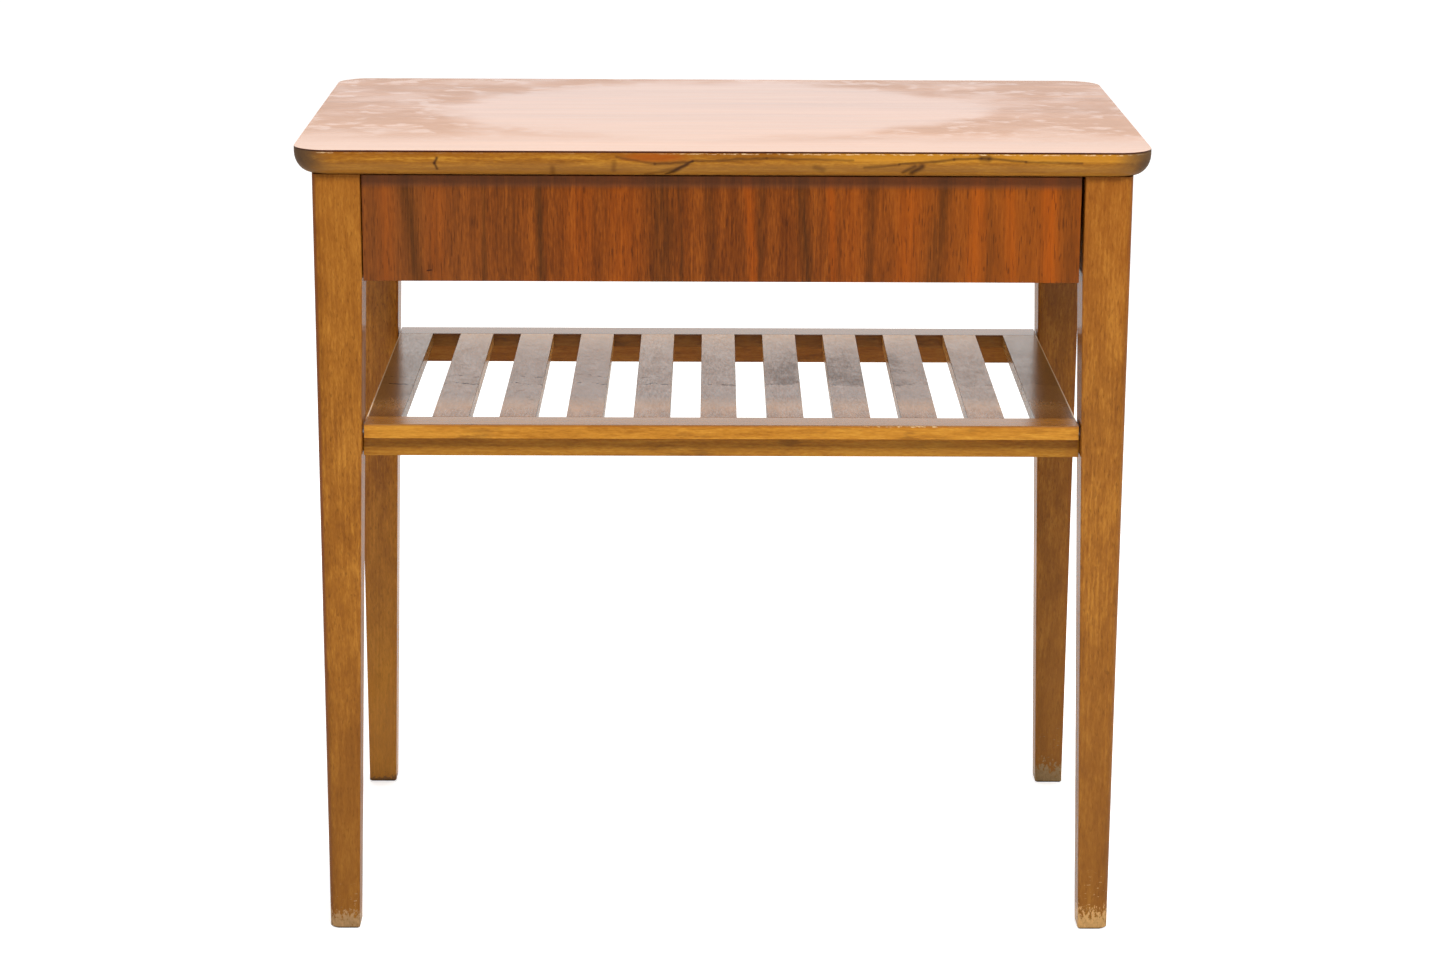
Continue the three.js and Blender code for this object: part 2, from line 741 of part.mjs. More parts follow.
function named(name, geometry, material) {
  const mesh = new THREE.Mesh(geometry, material);
  mesh.name = name;
  return mesh;
}

function buildTop() {
  const group = new THREE.Group();
  const slab = roundedSlab();
  group.add(
    named("top_core", topCore(), FINISH.rawWood),
    named("top_veneer", topVeneer(), FINISH.topVeneer),
    named("top_backing_veneer", backingVeneer(), FINISH.rawWood),
    named("lipping_front", longLipping(slab, -1), FINISH.lipping),
    named("lipping_rear", longLipping(slab, 1), FINISH.lipping),
    named("lipping_left", shortLipping(slab, -1), FINISH.lipping),
    named("lipping_right", shortLipping(slab, 1), FINISH.lipping),
  );
  return group;
}

function buildFrame() {
  const group = new THREE.Group();
  for (const [endName, end] of [["front", -1], ["rear", 1]]) {
    for (const [sideName, side] of [["left", -1], ["right", 1]]) {
      group.add(named(`leg_${endName}_${sideName}`, leg(side, end), FINISH.leg));
    }
    group.add(named(`stretcher_${endName}`, stretcher(end), FINISH.shelf));
  }
  for (const [sideName, side] of [["left", -1], ["right", 1]]) {
    group.add(
      named(`apron_${sideName}`, sideApron(side), FINISH.leg),
      named(`glue_block_${sideName}`, sideBlock(side), FINISH.rawWood),
      named(`glue_block_back_${sideName}`, backBlock(side), FINISH.rawWood),
      named(`drawer_runner_${sideName}`, runner(side), FINISH.rawWood),
      named(`drawer_stop_${sideName}`, drawerStop(side), FINISH.rawWood),
    );
  }
  group.add(
    named("apron_back", backApron(), FINISH.leg),
    named("front_top_rail", frontTopRail(), FINISH.rawWood),
  );
  return group;
}

function buildShelf() {
  const group = new THREE.Group();
  group.add(
    named("shelf_rail_front", shelfRail(-1), FINISH.shelf),
    named("shelf_rail_rear", shelfRail(1), FINISH.shelf),
  );
  for (const [name, edges] of Object.entries(crossBoards)) {
    group.add(named(name, crossBoard(edges), FINISH.shelf));
  }
  return group;
}

function buildDrawer() {
  const group = new THREE.Group();
  group.add(
    named("drawer_front", drawerFrontCore(), FINISH.rawWood),
    named("drawer_face_veneer", drawerFaceVeneer(), FINISH.faceVeneer),
    named("drawer_side_left", drawerSide(-1), FINISH.rawWood),
    named("drawer_side_right", drawerSide(1), FINISH.rawWood),
    named("drawer_back", drawerBack(), FINISH.rawWood),
    named("drawer_bottom", drawerBottom(), FINISH.plywood),
  );
  return group;
}

function buildScrews() {
  const group = new THREE.Group();
  for (const [name, screw] of Object.entries({ ...TOP_SCREWS, ...RUNNER_SCREWS, ...SHELF_SCREWS })) {
    group.add(named(name, screwGeometry(screw), FINISH.steel));
  }
  return group;
}

const table = new THREE.Group();
table.add(buildTop(), buildFrame(), buildShelf(), buildDrawer(), buildScrews());

export default table;
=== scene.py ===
"""Looks of a small varnished side table: eased pieces, procedural woods, a pale studio and a camera."""
import json
import math

import bmesh
import bpy
from mathutils import Matrix, Vector


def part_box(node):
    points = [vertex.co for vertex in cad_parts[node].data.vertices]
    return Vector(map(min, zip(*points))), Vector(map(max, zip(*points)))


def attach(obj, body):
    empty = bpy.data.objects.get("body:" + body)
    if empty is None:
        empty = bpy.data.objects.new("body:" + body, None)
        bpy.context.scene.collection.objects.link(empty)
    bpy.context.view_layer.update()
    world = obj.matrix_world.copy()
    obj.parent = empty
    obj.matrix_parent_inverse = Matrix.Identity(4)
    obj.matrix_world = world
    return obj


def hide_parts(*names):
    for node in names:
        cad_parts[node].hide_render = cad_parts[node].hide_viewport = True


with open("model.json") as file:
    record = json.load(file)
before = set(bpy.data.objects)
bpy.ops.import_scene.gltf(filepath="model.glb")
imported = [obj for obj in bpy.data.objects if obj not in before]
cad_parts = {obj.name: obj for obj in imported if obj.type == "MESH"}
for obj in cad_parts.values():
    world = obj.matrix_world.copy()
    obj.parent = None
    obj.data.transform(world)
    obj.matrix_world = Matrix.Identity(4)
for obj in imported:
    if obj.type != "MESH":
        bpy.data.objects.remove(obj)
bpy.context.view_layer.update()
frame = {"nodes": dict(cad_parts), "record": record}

# ---------------------------------------------------------------- driving values, metres and radians

MM = 0.001

WELD = 1e-6                       # corners closer than this are one corner
FLAT = math.radians(0.5)          # faces that meet at less than this are one face
ARRIS = math.radians(40)          # edges that turn more than this are arrises
FACET = math.radians(34)          # edges that turn less than this shade smooth
ARRIS_STEPS = 2                   # faces across a rounded arris

CAMERA = {
    "place": (-0.023978, -2.503060, 0.952618),
    "yaw": 0.01057,
    "pitch": 0.25631,
    "roll": 0.00538,
    "lens": 84.257,
    "sensor": 36.0,
}

KEY_LIGHT = {"place": (0.3, -1.75, 2.75), "aim": (0.0, -0.1, 0.4), "size": (0.45, 0.65), "power": 74.0}
TOP_LIGHT = {"place": (0.0, 0.4, 2.6), "aim": (0.0, 0.1, 0.5), "size": (1.8, 1.8), "power": 30.0}
BACKDROP_RADIANCE = 1.15          # the white room behind the table
DIM_RADIANCE = 0.16               # the unlit room in front of it
DIM_SIDE = -0.25                  # the room is dim where a direction's Y part is below this
BRIGHT_SIDE = 0.6                 # and bright where it is above this
FLOOR_GLOW = 0.6                  # what the overlit floor adds to its look
MIRRORED_GLOW = 0.1               # and to its reflections
FLOOR_SIDE = 30.0


# ---------------------------------------------------------------- colours

def linear(red, green, blue):
    """A display colour, 0 to 255, as the linear colour that shaders take."""
    def channel(value):
        value /= 255
        return value / 12.92 if value <= 0.04045 else ((value + 0.055) / 1.055) ** 2.4
    return (channel(red), channel(green), channel(blue), 1.0)


# ---------------------------------------------------------------- shader building

class Shader:
    """A material's node tree: each method adds one node and gives its output."""

    def __init__(self, name):
        self.material = bpy.data.materials.new(name)
        self.material.use_nodes = True
        self.nodes = self.material.node_tree.nodes
        self.links = self.material.node_tree.links
        self.nodes.clear()

    def feed(self, socket, value):
        if isinstance(value, bpy.types.NodeSocket):
            self.links.new(value, socket)
        else:
            socket.default_value = value

    def add(self, kind, inputs, output=0, **settings):
        node = self.nodes.new(kind)
        for name, value in settings.items():
            setattr(node, name, value)
        for key, value in inputs.items():
            self.feed(node.inputs[key], value)
        return node.outputs[output]

    def place(self):
        """The point in the table's own frame, in metres."""
        return self.add("ShaderNodeTexCoord", {}, "Object")

    def mapped(self, vector, shift=(0, 0, 0), turn=(0, 0, 0), scale=(1, 1, 1)):
        inputs = {"Vector": vector, "Location": shift, "Rotation": turn, "Scale": scale}
        return self.add("ShaderNodeMapping", inputs)

    def axis(self, vector, index):
        return self.add("ShaderNodeSeparateXYZ", {"Vector": vector}, index)

    def maths(self, operation, first, second=0.0, clamp=False):
        return self.add("ShaderNodeMath", {0: first, 1: second}, operation=operation, use_clamp=clamp)

    def times(self, first, *others):
        """The product of all its values."""
        for other in others:
            first = self.maths("MULTIPLY", first, other)
        return first

    def noise(self, vector, scale, detail=3.0, roughness=0.55, distortion=0.0):
        inputs = {"Vector": vector, "Scale": scale, "Detail": detail}
        inputs.update({"Roughness": roughness, "Distortion": distortion})
        return self.add("ShaderNodeTexNoise", inputs)

    def span(self, value, low, high, to_low=0.0, to_high=1.0):
        """Carries low..high smoothly over to to_low..to_high, and holds its ends."""
        inputs = {"Value": value, "From Min": low, "From Max": high, "To Min": to_low, "To Max": to_high}
        return self.add("ShaderNodeMapRange", inputs, interpolation_type="SMOOTHSTEP")

    def mix(self, factor, first, second):
        """The first colour, going over to the second as factor goes from 0 to 1."""
        return self.add("ShaderNodeMix", {0: factor, 6: first, 7: second}, 2, data_type="RGBA")

    def tones(self, value, stops):
        """A colour ramp through (position, colour) stops."""
        node = self.nodes.new("ShaderNodeValToRGB")
        ramp = node.color_ramp
        while len(ramp.elements) < len(stops):
            ramp.elements.new(1.0)
        for element, (position, colour) in zip(ramp.elements, stops):
            element.position = position
            element.color = colour
        self.feed(node.inputs[0], value)
        return node.outputs[0]

    def bell(self, value, centre, width):
        """One at centre, falling smoothly to nothing at width from it."""
        away = self.maths("ABSOLUTE", self.maths("SUBTRACT", value, centre))
        return self.span(away, 0.0, width, 1.0, 0.0)

    def stroke(self, across, up, start, end, width):
        """One on the line from start to end, falling to nothing at width from it."""
        run, rise = end[0] - start[0], end[1] - start[1]
        off_across = self.maths("SUBTRACT", across, start[0])
        off_up = self.maths("SUBTRACT", up, start[1])
        along = weighted(self, [(off_across, run), (off_up, rise)])
        share = self.maths("DIVIDE", along, run * run + rise * rise, clamp=True)
        off_across = self.maths("SUBTRACT", off_across, self.times(share, run))
        off_up = self.maths("SUBTRACT", off_up, self.times(share, rise))
        squares = [(self.times(off, off), 1.0) for off in (off_across, off_up)]
        return self.span(self.maths("SQRT", weighted(self, squares)), 0.0, width, 1.0, 0.0)

    def finish(self, colour, roughness, height=None, relief=0.0, **even):
        """Ends the tree in one Principled shader. even holds its other sockets' values."""
        node = self.nodes.new("ShaderNodeBsdfPrincipled")
        self.feed(node.inputs["Base Color"], colour)
        self.feed(node.inputs["Roughness"], roughness)
        for name, value in even.items():
            self.feed(node.inputs[name.replace("_", " ").title().replace("Ior", "IOR")], value)
        if height is not None:
            inputs = {"Height": height, "Distance": relief, "Strength": 1.0}
            normal = self.add("ShaderNodeBump", inputs)
            self.feed(node.inputs["Normal"], normal)
        output = self.nodes.new("ShaderNodeOutputMaterial")
        self.links.new(node.outputs[0], output.inputs[0])
        return self.material


# ---------------------------------------------------------------- wood

SATIN_VARNISH = {"specular_ior_level": 0.0, "coat_weight": 0.6, "coat_ior": 1.26, "coat_roughness": 0.10}
GLOSS_VARNISH = {"specular_ior_level": 0.0, "coat_ior": 1.76, "coat_roughness": 0.20}
TOP_LACQUER = {"specular_ior_level": 0.1, "coat_ior": 1.34, "coat_roughness": 0.08}

TABLE_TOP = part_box("top_veneer")[1].z
LIPPING_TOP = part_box("lipping_front")[1].z
LEG_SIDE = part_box("leg_front_right")[1].x
SHELF_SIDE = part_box("shelf_end_right")[1].x
SHELF_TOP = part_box("shelf_end_right")[1].z
SLAT_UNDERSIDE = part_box("shelf_end_right")[0].z

# The part of the top without haze. Its centre is this far behind the table's.
CLEAR_OVAL = {"centre": 0.020, "half_width": 0.200, "half_depth": 0.145}

PITH_PLACE = (0.12, 0.048, 0.0)   # where a board lies from the heart of its tree
PITH_LEAN = (0.03, -0.021, 0.0)   # how it leans against it
RING_WAVER = 0.004                # how far its rings wander

GRAIN_TURN = {
    "X": (0.0, math.radians(90), 0.0),
    "Y": (math.radians(90), 0.0, 0.0),
    "Z": (0.0, 0.0, 0.0),
}


def along_grain(shader, axis, seed):
    """The piece's place, turned so that its grain runs along Z, and moved to a board of its own."""
    turned = shader.mapped(shader.place(), turn=GRAIN_TURN[axis])
    shift = (0.37 * math.sin(seed * 2.1), 0.37 * math.cos(seed * 1.7), 0.83 * math.sin(seed * 0.9))
    return shader.mapped(turned, shift=shift)


def patches(shader, place, scale, detail=3.0, roughness=0.55, shift=(0, 0, 0)):
    """Noise with about scale spots to the metre along X, Y and Z."""
    return shader.noise(shader.mapped(place, shift=shift, scale=scale), 1.0, detail, roughness)


def rings(shader, board, spacing):
    """Growth rings that far apart, as a wave from 0 to 1."""
    leaning = shader.mapped(board, shift=PITH_PLACE, turn=PITH_LEAN)
    flat = shader.mapped(leaning, scale=(1.0, 1.0, 0.0))
    radius = shader.add("ShaderNodeVectorMath", {0: flat}, "Value", operation="LENGTH")
    warp = shader.times(patches(shader, board, (14.0, 14.0, 2.2), 2.0), RING_WAVER)
    phase = shader.times(shader.maths("ADD", radius, warp), 2 * math.pi / spacing)
    return shader.span(shader.maths("SINE", phase), -1.0, 1.0)


def fibres(shader, board, across=900.0, along=14.0):
    """Fine threads along the grain."""
    return patches(shader, board, (across, across, along), 3.0, 0.6)


def stretched(shader, board, across, along, detail=2.0, distortion=0.0):
    """Noise whose spots are about across metres wide and along metres long, with the grain."""
    board = shader.mapped(board, scale=(1 / across, 1 / across, 1 / along))
    return shader.noise(board, 1.0, detail, 0.55, distortion)


def pores(shader, board, across, along):
    """The pores, as short dashes along the grain."""
    dashes = patches(shader, board, (across, across, along), 1.0, 0.5)
    return shader.span(dashes, 0.62, 0.70)


def weighted(shader, parts):
    """The sum of (value, weight) parts."""
    total = None
    for value, weight in parts:
        part = shader.times(value, weight)
        total = part if total is None else shader.maths("ADD", total, part)
    return total


def figure(shader, board, blotch=(0.014, 0.050), streak=(0.0020, 0.014), ring_spacing=2.8 * MM):
    """How light the wood is, around 0.5, and its fibres alone."""
    broad = stretched(shader, board, *blotch, detail=3.0, distortion=0.6)
    thin = stretched(shader, board, *streak, detail=3.0)
    speck = stretched(shader, board, 0.0009, 0.0040, detail=1.0)
    ring = rings(shader, board, ring_spacing)
    patchy = stretched(shader, board, 0.02, 0.09)
    ring = shader.times(shader.maths("SUBTRACT", ring, 0.5), shader.span(patchy, 0.35, 0.7))
    fibre = fibres(shader, board)
    tone = weighted(shader, [(broad, 0.42), (thin, 0.28), (speck, 0.24), (ring, 0.06), (fibre, 0.06)])
    return tone, fibre


# ---------------------------------------------------------------- piece shapes

def eased(node, ease):
    """A copy of a CAD node with its arrises rounded off, shown in the node's place."""
    source = frame["nodes"][node]
    shape = bmesh.new()
    shape.from_mesh(source.data)
    bmesh.ops.remove_doubles(shape, verts=shape.verts, dist=WELD)
    bmesh.ops.dissolve_limit(shape, angle_limit=FLAT, verts=shape.verts, edges=shape.edges)
    arrises = [e for e in shape.edges if e.is_manifold and e.is_convex and e.calc_face_angle() > ARRIS]
    if ease:
        bmesh.ops.bevel(shape, geom=arrises, offset=ease, offset_type="OFFSET", segments=ARRIS_STEPS,
                        profile=0.5, affect="EDGES", clamp_overlap=True)
    bmesh.ops.recalc_face_normals(shape, faces=shape.faces)
    for face in shape.faces:
        face.smooth = True
    for edge in shape.edges:
        edge.smooth = edge.is_manifold and edge.calc_face_angle() < FACET
    mesh = bpy.data.meshes.new(node + "_wood")
    shape.to_mesh(mesh)
    shape.free()
    piece = bpy.data.objects.new(node + "_wood", mesh)
    bpy.context.scene.collection.objects.link(piece)
    normals = piece.modifiers.new("even_normals", "WEIGHTED_NORMAL")
    normals.keep_sharp = True
    return piece


def body_of(node):
    for body, nodes in frame["record"]["behaviour"]["bodies"].items():
        if node in nodes:
            return body


def show(node, material, ease=0.4 * MM):
    """Shows a CAD node as a piece of the given material, its arrises eased by that much."""
    piece = eased(node, ease)
    piece.data.materials.append(material)
    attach(piece, body_of(node))
    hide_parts(node)


# ---------------------------------------------------------------- materials

def tinted(colour, shares):
    return tuple(part * share for part, share in zip(colour[:3], shares)) + (1.0,)


def darker(colour, share):
    return tinted(colour, (share, share, share))


def foot_wear(shader, place, height, seed, wear):
    """How bare the leg is rubbed: up to wear metres, with nicks above. Also the noise that this follows."""
    rub = patches(shader, place, (480.0, 480.0, 260.0), 5.0, 0.68, shift=(seed, 0, 0))
    reach = shader.span(height, 0.0, wear, 0.34, 0.66)
    worn = shader.span(shader.maths("SUBTRACT", rub, reach), 0.0, 0.04)
    worn = shader.times(worn, shader.span(height, wear * 0.8, wear * 1.2, 1.0, 0.0))
    slanted = shader.mapped(place, shift=(0, 0, seed), turn=(0.0, 0.5, 0.0), scale=(300.0, 300.0, 1100.0))
    nicks = shader.span(shader.noise(slanted, 1.0, 2.0, 0.5), 0.66, 0.72)
    nicks = shader.times(nicks, shader.span(height, wear, wear * 2, 1.0, 0.0))
    return shader.maths("MAXIMUM", worn, nicks), rub


def leg_wood(name, seed, painted_light, high_painted_light, low_painted_light, wear, worn_tone, edge, coat):
    """Varnished stained beech with upright grain, worn at the foot; painted light and shade per leg, at its
    top and lower half, and along its outer edge.
    """
    shader = Shader(name)
    place = shader.place()
    board = along_grain(shader, "Z", seed)
    tone, fibre = figure(shader, board)
    # Painted light and shade: each leg's wood is made lighter or darker for the light it gets.
    colour = shader.tones(tone, [
        (0.36, darker(linear(134, 80, 27), painted_light)),
        (0.50, darker(linear(161, 101, 35), painted_light)),
        (0.64, darker(linear(189, 126, 48), painted_light)),
    ])
    flecks = pores(shader, board, 800.0, 190.0)
    colour = shader.mix(shader.times(flecks, 0.4), colour, darker(linear(92, 54, 16), painted_light))
    # Painted shade along the leg's rounded outer edge, by each leg's edge share.
    aside = shader.maths("ABSOLUTE", shader.axis(place, 0))
    outer_edge_shade = shader.span(aside, LEG_SIDE - 3.6 * MM, LEG_SIDE - 1.6 * MM, 0.0, edge)
    colour = shader.mix(outer_edge_shade, colour, darker(linear(128, 68, 38), painted_light))
    height = shader.axis(place, 2)
    # Painted light and shade: the lower half and the top of each leg are toned for the light they get.
    colour = shader.mix(shader.span(height, 0.02, 0.32, 0.5, 0.0), colour, low_painted_light)
    colour = shader.mix(shader.span(height, 0.38, 0.54, 0.0, 0.3), colour, high_painted_light)
    worn, rub = foot_wear(shader, place, height, seed, wear)
    bare = shader.mix(shader.span(rub, 0.4, 0.7), darker(worn_tone, 0.7), worn_tone)
    colour = shader.mix(shader.times(worn, 0.9), colour, bare)
    # Darker towards the very bottom of the foot.
    dark_foot_band = shader.span(height, 0.5 * MM, 2.0 * MM, 0.8, 0.0)
    colour = shader.mix(dark_foot_band, colour, linear(58, 36, 20))
    gloss = weighted(shader, [(shader.span(tone, 0.36, 0.64, 0.34, 0.44), 1.0), (worn, 0.3)])
    return shader.finish(colour, gloss, fibre, 0.02 * MM, **dict(SATIN_VARNISH, coat_weight=coat))


# What leg_wood takes for each leg, besides its name and seed. Its shade, top and low tones and edge
# darkening are painted light and shade, set for the light each leg gets.
LEGS = {
    "front_left": {
        "painted_light": 1.02, "high_painted_light": linear(152, 88, 28), "low_painted_light": linear(136, 88, 38),
        "wear": 0.024, "worn_tone": linear(196, 156, 108),
        "edge": 0.75, "coat": 0.4,
    },
    "front_right": {
        "painted_light": 1.02, "high_painted_light": linear(150, 72, 10), "low_painted_light": linear(140, 90, 38),
        "wear": 0.028, "worn_tone": linear(232, 182, 116),
        "edge": 0.1, "coat": 0.6,
    },
    "rear_left": {
        "painted_light": 1.26, "high_painted_light": linear(196, 146, 116), "low_painted_light": linear(212, 146, 62),
        "wear": 0.008, "worn_tone": linear(150, 108, 66),
        "edge": 0.3, "coat": 0.72,
    },
    "rear_right": {
        "painted_light": 0.92, "high_painted_light": linear(176, 130, 100), "low_painted_light": linear(164, 110, 54),
        "wear": 0.030, "worn_tone": linear(176, 146, 104),
        "edge": 0.3, "coat": 0.6,
    },
}

# Dark lines on the front lipping: start and end (along X, below the top), half width, strength.
LIPPING_LINES = (
    ((-0.1985, 4.5 * MM), (-0.2003, 8.0 * MM), 1.2 * MM, 1.0),
    ((-0.2003, 8.0 * MM), (-0.1985, 12.5 * MM), 1.1 * MM, 0.9),
    ((-0.0213, 6.3 * MM), (-0.0397, 16.0 * MM), 1.3 * MM, 1.0),
    ((-0.0255, 8.5 * MM), (-0.0345, 14.5 * MM), 1.6 * MM, 0.7),
    ((-0.0330, 12.0 * MM), (-0.0540, 16.5 * MM), 1.5 * MM, 0.5),
    ((-0.0740, 3.8 * MM), (-0.0475, 8.4 * MM), 1.2 * MM, 0.6),
    ((-0.0475, 8.4 * MM), (-0.0213, 6.6 * MM), 1.2 * MM, 0.8),
    ((-0.0213, 6.3 * MM), (0.0300, 4.2 * MM), 1.1 * MM, 0.7),
    ((0.0300, 4.2 * MM), (0.0900, 5.0 * MM), 1.0 * MM, 0.6),
    ((0.0980, 10.4 * MM), (0.1220, 8.4 * MM), 1.2 * MM, 0.6),
    ((0.1220, 8.4 * MM), (0.1600, 4.6 * MM), 1.1 * MM, 0.8),
    ((0.1600, 4.6 * MM), (0.1790, 3.4 * MM), 1.1 * MM, 0.8),
    ((0.1790, 3.2 * MM), (0.1840, 3.8 * MM), 2.6 * MM, 1.0),
    ((0.1840, 3.8 * MM), (0.2100, 6.0 * MM), 1.1 * MM, 0.8),
    ((0.2100, 6.0 * MM), (0.2490, 7.0 * MM), 1.1 * MM, 0.7),
    ((0.1310, 14.5 * MM), (0.1380, 9.6 * MM), 2.4 * MM, 1.0),
    ((0.1250, 14.0 * MM), (0.1330, 9.4 * MM), 1.5 * MM, 0.8),
    ((-0.1185, 11.0 * MM), (-0.1185, 15.0 * MM), 2.2 * MM, 0.5),
    ((-0.0757, 7.5 * MM), (-0.0762, 13.0 * MM), 2.2 * MM, 0.5),
    ((0.0640, 10.5 * MM), (0.0690, 12.5 * MM), 2.6 * MM, 0.5),
)


def front_lipping_figure(shader, board, across, drop, colour):
    """Adds the front lipping's ruddy flame, its paler right half and its dark lines to its colour."""
    flame = shader.times(shader.bell(across, -0.048, 0.038), shader.bell(drop, 3.8 * MM, 5.6 * MM))
    colour = shader.mix(shader.span(flame, 0.05, 0.8, 0.0, 0.7), colour, linear(168, 78, 14))
    pale = shader.times(shader.span(across, 0.02, 0.10), shader.span(drop, 5 * MM, 8 * MM, 1.0, 0.0), 0.6)
    colour = shader.mix(pale, colour, linear(212, 146, 44))
    waver = shader.maths("SUBTRACT", stretched(shader, board, 0.004, 0.014), 0.5)
    wavy = shader.maths("ADD", drop, shader.times(waver, 2.4 * MM))
    for start, end, width, strength in LIPPING_LINES:
        line = shader.stroke(across, wavy, start, end, width * 1.5)
        colour = shader.mix(shader.times(line, strength * 0.85), colour, linear(66, 36, 14))
    return colour


def lipping_chips(shader, place, across, drop):
    """Chips of bare wood right under the veneer: most in the right half, and a few at the left corner."""
    where = shader.span(across, -0.055, 0.0, 0.12, 1.0)
    where = shader.maths("MAXIMUM", where, shader.bell(across, -0.276, 0.012))
    chips = shader.span(patches(shader, place, (200.0, 200.0, 800.0), 5.0, 0.7), 0.46, 0.62)
    return shader.times(chips, where, shader.bell(drop, 1.1 * MM, 0.8 * MM))


def lipping_wood(name, seed, axis, in_front):
    """Golden brown solid edge wood, chipped along the veneer and dark with handling at the corners; painted
    light under its belly and painted shade along its lowest edge.
    """
    shader = Shader(name)
    place = shader.place()
    board = along_grain(shader, axis, seed)
    tone, fibre = figure(shader, board, (0.006, 0.060), (0.0016, 0.020), 4.5 * MM)
    colour = shader.tones(tone, [
        (0.36, linear(134, 80, 20)),
        (0.50, linear(168, 107, 28)),
        (0.64, linear(202, 142, 46)),
    ])
    across = shader.axis(place, 0)
    drop = shader.maths("SUBTRACT", LIPPING_TOP, shader.axis(place, 2))
    ruddy = shader.span(drop, 1 * MM, 5 * MM, 0.6, 0.0)
    colour = shader.mix(ruddy, colour, linear(140, 80, 16))
    # Painted light on the rounded underside, which the bright floor lights.
    belly_painted_light = shader.span(drop, 6 * MM, 11 * MM, 0.0, 0.5)
    colour = shader.mix(belly_painted_light, colour, linear(178, 124, 56))
    if in_front:
        colour = front_lipping_figure(shader, board, across, drop, colour)
    colour = shader.mix(lipping_chips(shader, place, across, drop), colour, linear(250, 214, 162))
    glue_line = shader.span(drop, 0.40 * MM, 0.80 * MM, 0.9, 0.0)
    colour = shader.mix(glue_line, colour, linear(66, 26, 20))
    cloud = stretched(shader, board, 0.012, 0.02, detail=3.0)
    soil = shader.maths("ADD", shader.maths("ABSOLUTE", across), shader.times(cloud, 0.016))
    soil = shader.span(soil, 0.276, 0.304, 0.0, 0.9)
    colour = shader.mix(soil, colour, linear(94, 74, 56))
    # Painted shade along the lowest edge of the rounded underside.
    rim_painted_shade = shader.span(drop, 14.5 * MM, 17.8 * MM, 0.0, 0.4)
    colour = shader.mix(rim_painted_shade, colour, linear(96, 60, 28))
    varnish = dict(SATIN_VARNISH, coat_weight=shader.span(soil, 0.0, 0.6, 0.6, 0.25))
    return shader.finish(colour, 0.38, fibre, 0.02 * MM, **varnish)


def use_marks(shader, place, dull, painted_light, colour, coat):
    """Pales the slats behind their front ends with painted light, and marks them with two scratches and a
    smeared band.
    """
    across = shader.axis(place, 0)
    depth = shader.axis(place, 1)
    # Painted light: the slats are painted paler where the top and the drawer shade them.
    paler_band = shader.span(depth, -0.15, -0.05, 0.0, 0.8)
    colour = shader.mix(paler_band, colour, darker(linear(206, 152, 86), painted_light))
    wander = patches(shader, place, (24.0, 0.0, 0.0), 3.0, 0.6)
    line = shader.maths("SUBTRACT", depth, shader.times(wander, 0.05))
    broken = shader.span(patches(shader, place, (150.0, 60.0, 0.0), 2.0), 0.46, 0.56)
    first = shader.times(shader.bell(line, -0.062, 2.0 * MM), broken)
    on_left = shader.span(across, -0.06, 0.0, 0.7, 0.0)
    second = shader.times(shader.bell(line, -0.038, 2.2 * MM), on_left, broken)
    scratch = shader.maths("MAXIMUM", first, second)
    scratch = shader.times(scratch, shader.span(across, 0.0, 0.10, 1.0, 0.4))
    colour = shader.mix(scratch, colour, linear(30, 18, 14))
    coat = shader.maths("SUBTRACT", coat, shader.times(scratch, 0.5))
    smear = shader.times(
        shader.span(line, -0.064, -0.060),
        shader.span(line, 0.020, 0.085, 1.0, 0.0),
        shader.span(across, 0.02, 0.05, 0.25, 1.0),
        shader.span(across, 0.128, 0.150, 1.0, 0.4),
        shader.span(dull, 0.38, 0.58, 0.5, 1.0),
    )
    colour = shader.mix(shader.times(smear, 0.6), colour, linear(98, 68, 34))
    coat = shader.maths("SUBTRACT", coat, shader.times(smear, 0.28))
    return colour, coat


def shaded_corners_pale_arrises(shader, place, colour, coat):
    """Paints shade along the slats' corners and dulls them there, and paints the outer arrises of the end
    boards cream.
    """
    height = shader.axis(place, 2)
    upper = shader.span(height, SHELF_TOP - 1.2 * MM, SHELF_TOP - 0.5 * MM, 0.86, 1.0)
    # Painted shade along the slats' upper and lower corners.
    upper_corner = shader.bell(height, SHELF_TOP - 0.6 * MM, 0.5 * MM)
    lower_corner = shader.bell(height, SLAT_UNDERSIDE + 0.4 * MM, 1.0 * MM)
    corner = shader.maths("MAXIMUM", upper_corner, lower_corner)
    coat = shader.times(coat, upper, shader.span(corner, 0.0, 1.0, 1.0, 0.3))
    colour = shader.mix(corner, colour, linear(60, 36, 18))
    aside = shader.maths("ABSOLUTE", shader.axis(place, 0))
    arris = shader.times(
        shader.span(aside, SHELF_SIDE - 1.4 * MM, SHELF_SIDE - 0.6 * MM),
        shader.span(height, SHELF_TOP - 1.0 * MM, SHELF_TOP - 0.4 * MM),
    )
    colour = shader.mix(arris, colour, linear(232, 200, 158))
    return colour, coat


